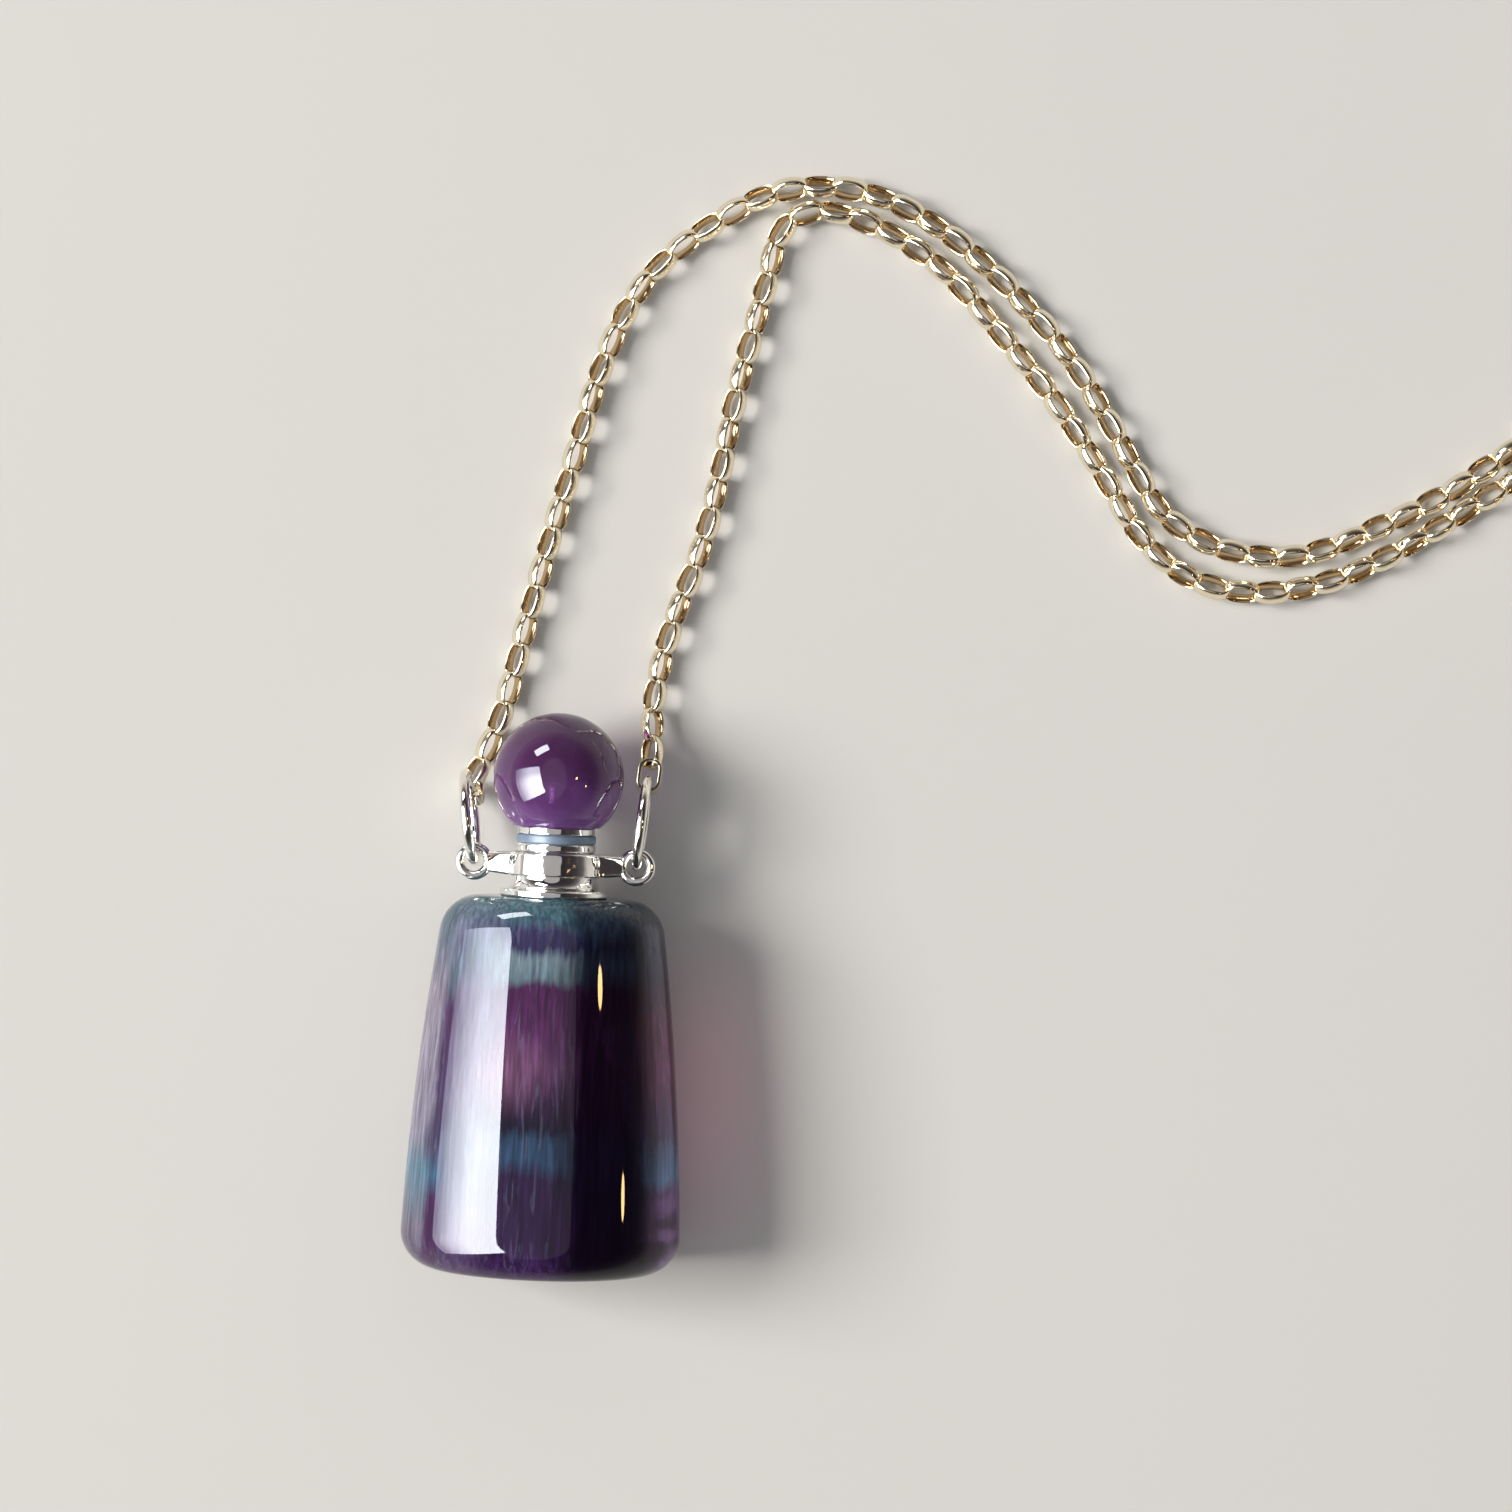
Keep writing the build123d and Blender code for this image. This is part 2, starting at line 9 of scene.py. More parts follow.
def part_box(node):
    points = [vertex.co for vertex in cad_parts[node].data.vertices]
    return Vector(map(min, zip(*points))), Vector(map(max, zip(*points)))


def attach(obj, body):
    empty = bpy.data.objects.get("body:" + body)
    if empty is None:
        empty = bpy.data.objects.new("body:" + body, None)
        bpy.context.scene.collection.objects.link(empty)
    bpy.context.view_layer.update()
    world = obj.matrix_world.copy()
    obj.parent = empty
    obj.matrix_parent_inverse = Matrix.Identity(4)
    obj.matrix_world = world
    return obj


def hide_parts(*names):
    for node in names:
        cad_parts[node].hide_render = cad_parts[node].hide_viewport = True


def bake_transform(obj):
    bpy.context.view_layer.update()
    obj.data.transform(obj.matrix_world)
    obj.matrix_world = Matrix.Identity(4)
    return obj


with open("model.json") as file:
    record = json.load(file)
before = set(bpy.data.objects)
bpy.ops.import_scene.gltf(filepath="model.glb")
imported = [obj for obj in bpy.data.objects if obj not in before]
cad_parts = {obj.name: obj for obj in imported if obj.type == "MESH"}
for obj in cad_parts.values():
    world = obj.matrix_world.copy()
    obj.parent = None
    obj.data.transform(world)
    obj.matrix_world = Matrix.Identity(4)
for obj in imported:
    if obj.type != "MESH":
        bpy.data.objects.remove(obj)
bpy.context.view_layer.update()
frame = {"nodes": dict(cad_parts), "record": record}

# A pendant necklace lying on its back: crystal bottle, silver neck, stone bead and two strands of chain.
# Row +Y is the pendant's axis, from its base to its bead, and +Z points up. Lengths are in metres unless a
# comment says otherwise.

MM = 0.001
random.seed(7)


# ---- node helpers ----

def new_material(name):
    """An empty material with one Principled shader."""
    mat = bpy.data.materials.new(name)
    mat.use_nodes = True
    return mat, mat.node_tree, mat.node_tree.nodes["Principled BSDF"]


def object_place(tree):
    """Where on the object a point is."""
    return tree.nodes.new("ShaderNodeTexCoord").outputs["Object"]


def stretched(tree, place, factors):
    """The same place with each axis scaled, so that a pattern is drawn out."""
    mapping = tree.nodes.new("ShaderNodeMapping")
    mapping.inputs["Scale"].default_value = factors
    tree.links.new(place, mapping.inputs["Vector"])
    return mapping.outputs["Vector"]


def noise(tree, place, scale, detail=3.0, distortion=0.0):
    """Cloudy noise from 0 to 1."""
    node = tree.nodes.new("ShaderNodeTexNoise")
    node.inputs["Scale"].default_value = scale
    node.inputs["Detail"].default_value = detail
    node.inputs["Distortion"].default_value = distortion
    tree.links.new(place, node.inputs["Vector"])
    return node.outputs["Fac"]


def axis_share(tree, place, axis, low, high):
    """How far along one axis a point is, from 0 at the low end to 1 at the high end."""
    split = tree.nodes.new("ShaderNodeSeparateXYZ")
    tree.links.new(place, split.inputs[0])
    return between(tree, split.outputs[axis], low, high)


def maths(tree, operation, first, second):
    """One arithmetic step on sockets or plain numbers."""
    node = tree.nodes.new("ShaderNodeMath")
    node.operation = operation
    for socket, value in zip(node.inputs, (first, second)):
        if isinstance(value, (int, float)):
            socket.default_value = value
        else:
            tree.links.new(value, socket)
    return node.outputs[0]


def between(tree, amount, start, end):
    """How far an amount has got from a start value, 0, to an end value, 1."""
    node = tree.nodes.new("ShaderNodeMapRange")
    node.inputs["From Min"].default_value = start
    node.inputs["From Max"].default_value = end
    tree.links.new(amount, node.inputs["Value"])
    return node.outputs["Result"]


def nearness(tree, place, point, radius):
    """1 at a point, falling to 0 at a radius from it."""
    node = tree.nodes.new("ShaderNodeVectorMath")
    node.operation = "DISTANCE"
    tree.links.new(place, node.inputs[0])
    node.inputs[1].default_value = point
    return between(tree, node.outputs["Value"], radius, 0.0)


def ramp(tree, amount, stops):
    """Colours along an amount from 0 to 1. Each stop is its amount and its colour."""
    node = tree.nodes.new("ShaderNodeValToRGB")
    colours = node.color_ramp
    while len(colours.elements) < len(stops):
        colours.elements.new(0.5)
    for element, (position, colour) in zip(colours.elements, stops):
        element.position = position
        element.color = (*colour, 1)
    tree.links.new(amount, node.inputs["Fac"])
    return node.outputs["Color"]


def spread(tree, amount, low, high):
    """An amount from 0 to 1, moved to another range."""
    node = tree.nodes.new("ShaderNodeMapRange")
    node.inputs["To Min"].default_value = low
    node.inputs["To Max"].default_value = high
    tree.links.new(amount, node.inputs["Value"])
    return node.outputs["Result"]


def mix(tree, amount, first, second, blend="MIX"):
    """Two colours mixed by an amount."""
    node = tree.nodes.new("ShaderNodeMix")
    node.data_type = "RGBA"
    node.blend_type = blend
    if isinstance(amount, (int, float)):
        node.inputs[0].default_value = amount
    else:
        tree.links.new(amount, node.inputs[0])
    for socket, value in ((node.inputs[6], first), (node.inputs[7], second)):
        if isinstance(value, tuple):
            socket.default_value = (*value, 1)
        else:
            tree.links.new(value, socket)
    return node.outputs[2]


def bump(tree, shader, height):
    """Small relief from a height in metres."""
    node = tree.nodes.new("ShaderNodeBump")
    node.inputs["Strength"].default_value = 1.0
    node.inputs["Distance"].default_value = 1.0
    tree.links.new(height, node.inputs["Height"])
    tree.links.new(node.outputs["Normal"], shader.inputs["Normal"])


# ---- camera, floor and lights ----

VIEW_CENTRE = (15.0 * MM, 18.6 * MM)      # the camera stands straight over this place
CAMERA_HEIGHT = 250.0 * MM
VIEW_WIDTH = 118.6 * MM                   # what the picture spans on the floor
CAMERA_TURN = 2.33                        # degrees that the pendant leans in the picture
SENSOR_WIDTH = 36.0                       # millimetres, as the camera counts it

DAYLIGHT = (0.92, 0.95, 1.0)
SUNLIGHT = (1.0, 0.985, 0.96)
CEILING_WHITE = (1.0, 0.97, 0.95)
LAMPLIGHT = (1.0, 0.66, 0.28)
PLUM = (1.0, 0.20, 0.45)
GLOW_X = 12.8 * MM                        # the middle of the plum light that lies beside the bottle
GLOW_Y = -8.0 * MM
GLOW_HEIGHT = 5.0 * MM

# The tint of the window at a share of its height from its sill, and of its width from its far side.
FROM_SILL = [(0.10, (0.22, 0.22, 0.24)), (0.60, (1.0, 1.0, 1.0))]
FROM_FAR_SIDE = [(0.20, (0.50, 0.52, 0.56)), (0.45, (1.0, 1.0, 1.0))]

SOFT_COLOUR = (0.86, 0.88, 0.92)
SOFT_STRENGTH = 0.38
# The room that reflections see, from the horizon, 0, to straight overhead, 1.
ROOM_COLOURS = [
    (0.0, (0.65, 0.62, 0.58)),
    (0.12, (0.48, 0.45, 0.41)),
    (0.30, (0.14, 0.13, 0.13)),
    (0.55, (0.045, 0.040, 0.045)),
    (1.0, (0.020, 0.018, 0.022)),
]

FLOOR_HALF = 3.0
FLOOR_COLOUR = (0.63, 0.61, 0.575)
FLOOR_ROUGHNESS = 0.85
FLOOR_SHINE = 0.1


def add_camera():
    """Looks straight down, turned a little so that the pendant leans as it lies."""
    data = bpy.data.cameras.new("camera")
    data.sensor_width = SENSOR_WIDTH
    data.lens = SENSOR_WIDTH * CAMERA_HEIGHT / VIEW_WIDTH
    data.clip_start = MM
    camera = bpy.data.objects.new("camera", data)
    camera.location = (*VIEW_CENTRE, CAMERA_HEIGHT)
    camera.rotation_euler = (0, 0, math.radians(CAMERA_TURN))
    bpy.context.scene.collection.objects.link(camera)
    bpy.context.scene.camera = camera


def add_area_light(name, place, size, brightness, colour, target=(0, 0, 0), shape="RECTANGLE", roll=0.0,
                   reflected=True, lit=False):
    """A soft light aimed at a point: reflections see it, it lights matt surfaces, or both."""
    data = bpy.data.lights.new(name, "AREA")
    data.shape = shape
    data.size, data.size_y = size
    data.energy = brightness * math.pi * size[0] * size[1]
    data.color = colour
    lamp = bpy.data.objects.new(name, data)
    lamp.location = place
    aim = (Vector(target) - Vector(place)).to_track_quat("-Z", "Y").to_matrix()
    lamp.rotation_euler = (aim @ Matrix.Rotation(math.radians(roll), 3, "Z")).to_euler()
    lamp.visible_camera = False
    lamp.visible_glossy = reflected
    lamp.visible_diffuse = lit
    bpy.context.scene.collection.objects.link(lamp)
    return data


def fade(data):
    """Dims a window light towards its sill and towards its far side, as a thin curtain does."""
    data.use_nodes = True
    tree = data.node_tree
    pane = tree.nodes.new("ShaderNodeSeparateXYZ")
    tree.links.new(tree.nodes.new("ShaderNodeNewGeometry").outputs["Parametric"], pane.inputs[0])
    from_sill = ramp(tree, pane.outputs["Y"], FROM_SILL)
    from_far_side = ramp(tree, pane.outputs["X"], FROM_FAR_SIDE)
    both = mix(tree, 1.0, from_sill, from_far_side, "MULTIPLY")
    tree.links.new(both, tree.nodes["Emission"].inputs["Color"])


def add_lights():
    """A window on the left, its daylight, a small second pane, a dim ceiling and two small warm lamps."""
    fade(add_area_light(
        "window", place=(-0.93, -0.18, 0.76), size=(1.08, 1.12), brightness=26.0, colour=DAYLIGHT, roll=6.0,
    ))
    add_area_light(
        "pane", place=(-0.18, 0.31, 0.22), size=(0.16, 0.09), brightness=19.0, colour=DAYLIGHT,
    )
    add_area_light(
        "ceiling", place=(-0.10, 0.0, 1.0), size=(1.5, 0.85), brightness=0.30, colour=CEILING_WHITE,
        shape="ELLIPSE",
    )
    add_area_light(
        "day", place=(-1.71, 0.18, 1.30), size=(0.99, 0.99), brightness=21.0, colour=SUNLIGHT,
        reflected=False, lit=True,
    )
    add_area_light(
        "lamp_near", place=(0.1465, 0.0257, 0.2156), size=(0.012, 0.016), brightness=28.0, colour=LAMPLIGHT,
        shape="ELLIPSE",
    )
    add_area_light(
        "lamp_far", place=(0.2059, -0.031, 0.162), size=(0.013, 0.012), brightness=28.0, colour=LAMPLIGHT,
        shape="ELLIPSE",
    )
    # the plum light that the crystal lets through on to the table beside it
    add_area_light(
        "glow", place=(GLOW_X, GLOW_Y, GLOW_HEIGHT), size=(0.004, 0.020), brightness=0.27, colour=PLUM,
        target=(GLOW_X, GLOW_Y, 0), shape="ELLIPSE", reflected=False, lit=True,
    )


def add_world():
    """Even soft surroundings, which reflections see as a room that is dark overhead."""
    world = bpy.data.worlds.new("surroundings")
    world.use_nodes = True
    tree = world.node_tree
    soft = tree.nodes["Background"]
    soft.inputs["Color"].default_value = (*SOFT_COLOUR, 1)
    soft.inputs["Strength"].default_value = SOFT_STRENGTH
    direction = tree.nodes.new("ShaderNodeSeparateXYZ")
    tree.links.new(tree.nodes.new("ShaderNodeTexCoord").outputs["Generated"], direction.inputs[0])
    room = tree.nodes.new("ShaderNodeBackground")
    walls = ramp(tree, direction.outputs["Z"], ROOM_COLOURS)
    tree.links.new(walls, room.inputs["Color"])
    chooser = tree.nodes.new("ShaderNodeMixShader")
    tree.links.new(tree.nodes.new("ShaderNodeLightPath").outputs["Is Glossy Ray"], chooser.inputs["Fac"])
    tree.links.new(soft.outputs[0], chooser.inputs[1])
    tree.links.new(room.outputs[0], chooser.inputs[2])
    tree.links.new(chooser.outputs[0], tree.nodes["World Output"].inputs["Surface"])
    bpy.context.scene.world = world
    bpy.context.scene.view_settings.view_transform = "Standard"


def add_floor():
    """A plain pale table top."""
    mesh = bpy.data.meshes.new("floor")
    corners = [(x * FLOOR_HALF, y * FLOOR_HALF, 0) for x, y in ((-1, -1), (1, -1), (1, 1), (-1, 1))]
    mesh.from_pydata(corners, [], [(0, 1, 2, 3)])
    floor = bpy.data.objects.new("floor", mesh)
    bpy.context.scene.collection.objects.link(floor)
    mat, tree, shader = new_material("floor")
    shader.inputs["Base Color"].default_value = (*FLOOR_COLOUR, 1)
    shader.inputs["Roughness"].default_value = FLOOR_ROUGHNESS
    shader.inputs["Specular IOR Level"].default_value = FLOOR_SHINE
    mesh.materials.append(mat)


# ---- materials ----

# Noise scales are in patterns to the metre, and a stretch of 9 draws a pattern in to a ninth of its width.
CLOUD_SCALE = 900.0
WIPING_SCALE = 1400.0
WIPING_STRETCH = (1.0, 9.0, 9.0)
WIPING_DEPTH = 0.001 * MM
DENT_SCALE = 750.0
CLOUD_SHADE = 0.93

PLATE_COLOUR = (0.93, 0.92, 0.89)
WIRE_COLOUR = (0.93, 0.90, 0.82)
CHAIN_COLOUR = (0.94, 0.84, 0.63)
# the painted shade on the inner faces of the links, where their holes fall into shadow
LINK_INSIDE_SHADE_COLOUR = (0.52, 0.37, 0.20)


def silver_material(name, colour, roughness, wear, dents=0.0, inner_shade_colour=None):
    """Polished plate: faint clouding, fine wiping marks, dents of a given depth and, when given, painted
    shade on its inner faces.
    """
    mat, tree, shader = new_material(name)
    place = object_place(tree)
    clouds = noise(tree, place, CLOUD_SCALE, detail=4.0)
    marks = noise(tree, stretched(tree, place, WIPING_STRETCH), WIPING_SCALE, detail=5.0)
    hollows = noise(tree, place, DENT_SCALE, detail=1.0, distortion=0.5)
    clouded = tuple(CLOUD_SHADE * channel for channel in colour)
    plate = ramp(tree, clouds, [(0.3, clouded), (0.7, colour)])
    # painted shade: the faces marked inside turn a darker, browner gold, as a link's shadowed hollow looks
    if inner_shade_colour:
        inside = tree.nodes.new("ShaderNodeAttribute")
        inside.attribute_name = "inside"
        plate = mix(tree, inside.outputs["Fac"], plate, inner_shade_colour)
    relief = maths(tree, "ADD", maths(tree, "MULTIPLY", marks, WIPING_DEPTH),
                   maths(tree, "MULTIPLY", hollows, dents))
    shader.inputs["Metallic"].default_value = 1.0
    tree.links.new(plate, shader.inputs["Base Color"])
    tree.links.new(spread(tree, clouds, roughness, roughness + wear), shader.inputs["Roughness"])
    bump(tree, shader, relief)
    return mat


# The bead's colours from its seat, 0, to its top, 1.
BEAD_COLOURS = [
    (0.00, (0.26, 0.11, 0.36)),
    (0.22, (0.195, 0.070, 0.255)),
    (0.45, (0.120, 0.038, 0.145)),
    (0.75, (0.095, 0.027, 0.102)),
    (1.00, (0.120, 0.052, 0.140)),
]
BEAD_CLOUD_SCALE = 240.0
BEAD_CLOUD_REACH = 0.9          # how far clouds shift the colours, as a share of the bead's height
BEAD_IOR = 1.54
BEAD_CLEARNESS = 0.45
POLISHED = 0.02                 # the roughness of polished stone


def bead_material():
    """Amethyst: dense violet, clearer and lighter near its seat."""
    mat, tree, shader = new_material("bead_stone")
    place = object_place(tree)
    low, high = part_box("stopper_ball")
    clouds = noise(tree, place, BEAD_CLOUD_SCALE, detail=4.0, distortion=0.6)
    clouds = maths(tree, "SUBTRACT", clouds, 0.5)
    height = axis_share(tree, place, "Y", low[1], high[1])
    height = maths(tree, "ADD", height, maths(tree, "MULTIPLY", clouds, BEAD_CLOUD_REACH))
    tree.links.new(ramp(tree, height, BEAD_COLOURS), shader.inputs["Base Color"])
    shader.inputs["Roughness"].default_value = POLISHED
    shader.inputs["IOR"].default_value = BEAD_IOR
    shader.inputs["Transmission Weight"].default_value = BEAD_CLEARNESS
    return mat


# The crystal's colours from its base, 0, to its top, 1, at six places across it. Up the bottle they are the
# stone's bands. Across it they paint light and shade: paler towards the lit left, painted shade right of the
# middle and a painted glow at the right edge. Each column after the first takes over between two shares of
# the bottle's width, counted from the left.
CRYSTAL_BANDS_AND_PAINTED_LIGHT = [
    # at the left edge, paler with a painted reflection from the left
    (None, [
        (0.00, (0.050, 0.026, 0.080)), (0.12, (0.150, 0.130, 0.180)), (0.28, (0.110, 0.220, 0.300)),
        (0.37, (0.240, 0.220, 0.300)), (0.75, (0.250, 0.215, 0.275)), (0.86, (0.120, 0.140, 0.200)),
        (1.00, (0.065, 0.125, 0.150)),
    ]),
    # the dark streak beside it
    ((0.075, 0.10), [
        (0.00, (0.070, 0.022, 0.090)), (0.20, (0.060, 0.020, 0.080)), (0.26, (0.045, 0.120, 0.200)),
        (0.34, (0.070, 0.055, 0.120)), (0.70, (0.080, 0.035, 0.110)), (0.80, (0.110, 0.150, 0.200)),
        (0.90, (0.170, 0.170, 0.260)), (1.00, (0.070, 0.130, 0.165)),
    ]),
    # the part left of the middle, paler with painted light from the left
    ((0.125, 0.16), [
        (0.00, (0.070, 0.030, 0.110)), (0.10, (0.100, 0.060, 0.140)), (0.28, (0.085, 0.100, 0.180)),
        (0.36, (0.120, 0.130, 0.200)), (0.50, (0.150, 0.110, 0.190)), (0.75, (0.140, 0.105, 0.175)),
        (0.85, (0.120, 0.170, 0.210)), (0.92, (0.130, 0.140, 0.220)), (1.00, (0.095, 0.175, 0.200)),
    ]),
    # the middle
    ((0.27, 0.34), [
        (0.00, (0.061, 0.021, 0.100)), (0.10, (0.034, 0.014, 0.060)), (0.275, (0.030, 0.014, 0.057)),
        (0.325, (0.034, 0.075, 0.150)), (0.375, (0.028, 0.060, 0.120)), (0.41, (0.012, 0.010, 0.030)),
        (0.48, (0.040, 0.014, 0.052)), (0.56, (0.115, 0.040, 0.115)), (0.66, (0.105, 0.026, 0.110)),
        (0.765, (0.075, 0.016, 0.080)), (0.79, (0.130, 0.200, 0.235)), (0.85, (0.190, 0.260, 0.300)),
        (0.875, (0.035, 0.030, 0.095)), (0.91, (0.045, 0.035, 0.110)), (0.945, (0.075, 0.155, 0.190)),
        (1.00, (0.095, 0.175, 0.200)),
    ]),
    # painted shade right of the middle
    ((0.54, 0.66), [
        (0.00, (0.006, 0.0015, 0.009)), (0.35, (0.006, 0.003, 0.014)), (0.45, (0.008, 0.002, 0.011)),
        (0.76, (0.010, 0.002, 0.011)), (0.82, (0.013, 0.018, 0.034)), (0.88, (0.009, 0.009, 0.024)),
        (0.94, (0.020, 0.032, 0.055)), (1.00, (0.040, 0.060, 0.080)),
    ]),
    # at the right edge, a painted glow of light come through the stone
    ((0.86, 0.94), [
        (0.00, (0.030, 0.008, 0.045)), (0.10, (0.078, 0.020, 0.090)), (0.23, (0.075, 0.022, 0.095)),
        (0.27, (0.075, 0.150, 0.290)), (0.33, (0.060, 0.090, 0.180)), (0.39, (0.050, 0.020, 0.065)),
        (0.55, (0.120, 0.018, 0.058)), (0.68, (0.085, 0.018, 0.042)), (0.80, (0.035, 0.030, 0.045)),
        (1.00, (0.050, 0.060, 0.080)),
    ]),
]


# The bottle's width at a height from 0 to 1 is 1 - height * (NARROWING + SIDE_CURVE * height) of its base's.
NARROWING = 0.063
SIDE_CURVE = 0.174

# How far waves and fibres shift the columns, as shares of the bottle's height and width.
WAVES_UP = 0.05
WAVES_ACROSS = 0.07
WAVE_SCALE = 130.0
FIBRES_UP = 0.07
FIBRE_SCALE = 260.0
FIBRE_STRETCH = (9.0, 0.5, 9.0)

VEIL_SCALE = 380.0
VEIL_STRETCH = (9.0, 0.35, 9.0)
VEIL_TINTS = [(0.34, (0.60, 0.60, 0.64)), (0.52, (1.0, 1.0, 1.0)), (0.70, (1.5, 1.55, 1.6))]

# Pale threads show where their noise is between the two edges, and fade out right of the middle, where the
# painted shade lies.
THREAD_SCALE = 420.0
THREAD_STRETCH = (4.0, 0.4, 4.0)
THREAD_EDGES = (0.58, 0.72)
THREADS_END = (0.66, 0.50)      # shares of the bottle's width where they're gone and where they're full
THREAD_COLOUR = (0.17, 0.18, 0.28)
THREAD_STRENGTH = 0.5

# A painted glow just left of the middle, on the front: the reservoir's light seen back through the stone.
RESERVOIR_GLOW_X = -2.4 * MM
RESERVOIR_GLOW_HEIGHT = 0.55        # as a share of the bottle's height
RESERVOIR_GLOW_RADIUS = 3.6 * MM
RESERVOIR_GLOW_COLOUR = (0.36, 0.16, 0.30)
RESERVOIR_GLOW_STRENGTH = 0.5

CRYSTAL_IOR = 1.46
CRYSTAL_CLEARNESS = 0.25


def crystal_place(tree, place, low, high):
    """How far up and how far across the bottle a point is, both a little wavy."""
    waves = noise(tree, place, WAVE_SCALE, detail=3.0, distortion=0.8)
    waves = maths(tree, "SUBTRACT", waves, 0.5)
    fibres = noise(tree, stretched(tree, place, FIBRE_STRETCH), FIBRE_SCALE, detail=4.0, distortion=0.3)
    fibres = maths(tree, "SUBTRACT", fibres, 0.5)
    height = axis_share(tree, place, "Y", low[1], high[1])
    narrowing = maths(tree, "ADD", NARROWING, maths(tree, "MULTIPLY", height, SIDE_CURVE))
    width = maths(tree, "SUBTRACT", 1.0, maths(tree, "MULTIPLY", height, narrowing))
    sideways = maths(tree, "SUBTRACT", axis_share(tree, place, "X", low[0], high[0]), 0.5)
    across = maths(tree, "ADD", 0.5, maths(tree, "DIVIDE", sideways, width))
    height = maths(tree, "ADD", height, maths(tree, "MULTIPLY", waves, WAVES_UP))
    height = maths(tree, "ADD", height, maths(tree, "MULTIPLY", fibres, FIBRES_UP))
    across = maths(tree, "ADD", across, maths(tree, "MULTIPLY", waves, WAVES_ACROSS))
    return height, across


def crystal_material():
    """Banded fluorite: teal and blue bands and drawn-out veils on a purple body, with painted light on its
    left, painted shade right of the middle and a painted glow at its right edge.
    """
    mat, tree, shader = new_material("crystal_stone_painted_light")
    place = object_place(tree)
    low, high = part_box("crystal_bottle")
    height, across = crystal_place(tree, place, low, high)
    colour = None
    # the columns across the bottle paint light and shade: paler on the left, painted shade right of the
    # middle, a painted glow at the right edge
    for reach, stops in CRYSTAL_BANDS_AND_PAINTED_LIGHT:
        column = ramp(tree, height, stops)
        colour = mix(tree, between(tree, across, *reach), colour, column) if reach else column

    # painted light: a pale magenta glow on the front where the reservoir's light shows through
    glow_place = (RESERVOIR_GLOW_X, low[1] + RESERVOIR_GLOW_HEIGHT * (high[1] - low[1]), high[2])
    near_glow = nearness(tree, place, glow_place, RESERVOIR_GLOW_RADIUS)
    colour = mix(tree, maths(tree, "MULTIPLY", near_glow, RESERVOIR_GLOW_STRENGTH), colour, RESERVOIR_GLOW_COLOUR)

    veils = noise(tree, stretched(tree, place, VEIL_STRETCH), VEIL_SCALE, detail=6.0, distortion=0.2)
    colour = mix(tree, 1.0, colour, ramp(tree, veils, VEIL_TINTS), "MULTIPLY")

    threads = noise(tree, stretched(tree, place, THREAD_STRETCH), THREAD_SCALE, detail=5.0, distortion=1.2)
    threads = between(tree, threads, *THREAD_EDGES)
    left_side = between(tree, across, *THREADS_END)
    threads = maths(tree, "MULTIPLY", threads, left_side)
    colour = mix(tree, maths(tree, "MULTIPLY", threads, THREAD_STRENGTH), colour, THREAD_COLOUR)

    tree.links.new(colour, shader.inputs["Base Color"])
    shader.inputs["Roughness"].default_value = POLISHED
    shader.inputs["IOR"].default_value = CRYSTAL_IOR
    shader.inputs["Transmission Weight"].default_value = CRYSTAL_CLEARNESS
    return mat


SEAL_CLOUD_SCALE = 1500.0
SEAL_COLOURS = [(0.3, (0.13, 0.18, 0.25)), (0.7, (0.18, 0.25, 0.33))]
SEAL_ROUGHNESS = 0.38


def seal_material():
    """Blue-grey silicone."""
    mat, tree, shader = new_material("seal_silicone")
    clouds = noise(tree, object_place(tree), SEAL_CLOUD_SCALE)
    tree.links.new(ramp(tree, clouds, SEAL_COLOURS), shader.inputs["Base Color"])
    shader.inputs["Roughness"].default_value = SEAL_ROUGHNESS
    return mat


def paint(node, mat):
    """Gives one CAD node its material."""
    mesh = frame["nodes"][node].data
    mesh.materials.clear()
    mesh.materials.append(mat)


# ---- chain ----

LINK_LENGTH = 2.96 * MM         # the outside of one band link
LINK_WIDTH = 1.88 * MM
LINK_WALL = 0.32 * MM           # how thick the band is
LINK_BAND = 0.90 * MM           # how broad the band is
LINK_PITCH = 2.36 * MM
LINK_ROLLS = (-40.0, 50.0)      # degrees, each link leaning the other way from the one before
LINK_ROLL_PLAY = 5.0            # degrees of random roll either way
LINK_OUTLINE_POINTS = 28
LINK_SECTION_POINTS = 12
LINK_SQUARENESS = 0.86          # of the outline: 1 is an ellipse, less is nearer to straight sides
BAND_SQUARENESS = 0.80          # of the band's section
SMALL_TURN = 0.01               # radians either side of a point, for the outline's direction there
FIRST_LINK_ALONG = 0.5 * MM     # the first link's middle, from the line's start
INNER_HALF = LINK_LENGTH / 2 - LINK_WALL

# The strands' coils, bends and routes are in millimetres.
COIL_RADIUS = 13.0
TRACK_PITCH = 2.15
CHAIN_HEIGHT = 1.0
COIL_POINTS_PER_TURN = 14
LEFT_COIL = {"centre": (88.0, 71.0), "start_angle": -60.0, "turns": 1.26, "way": 1}
RIGHT_COIL = {"centre": (89.5, 37.0), "start_angle": 110.0, "turns": 1.69, "way": -1}
CLASP_DIRECTION = 48.0          # degrees, from the left last link to the clasp
END_RING_DIRECTION = -158.0     # degrees, from the right last link to the end ring

LEFT_ROUTE = [
    (-7.0, 15.95, 1.05), (-6.0, 18.0, 1.0), (-4.7, 21.8, 1.0), (-3.6, 27.0, 1.0), (-2.0, 34.0, 1.0),
    (0.0, 41.6, 1.0), (1.6, 48.6, 1.0), (4.5, 55.4, 1.0), (9.3, 59.7, 1.0), (15.2, 63.2, 1.0),
    (21.6, 63.3, 1.0), (27.6, 60.7, 1.0), (33.3, 56.1, 1.0), (38.5, 50.6, 1.0), (42.8, 43.8, 1.0),
    (45.8, 38.6, 1.0), (50.6, 36.0, 1.0), (56.8, 35.6, 1.0), (62.5, 38.2, 1.0), (67.9, 41.0, 1.0),
    (72.8, 44.7, 1.0), (79.2, 49.4, 1.0), (86.3, 53.9, 1.0), (94.5, 59.1, 1.0),
]
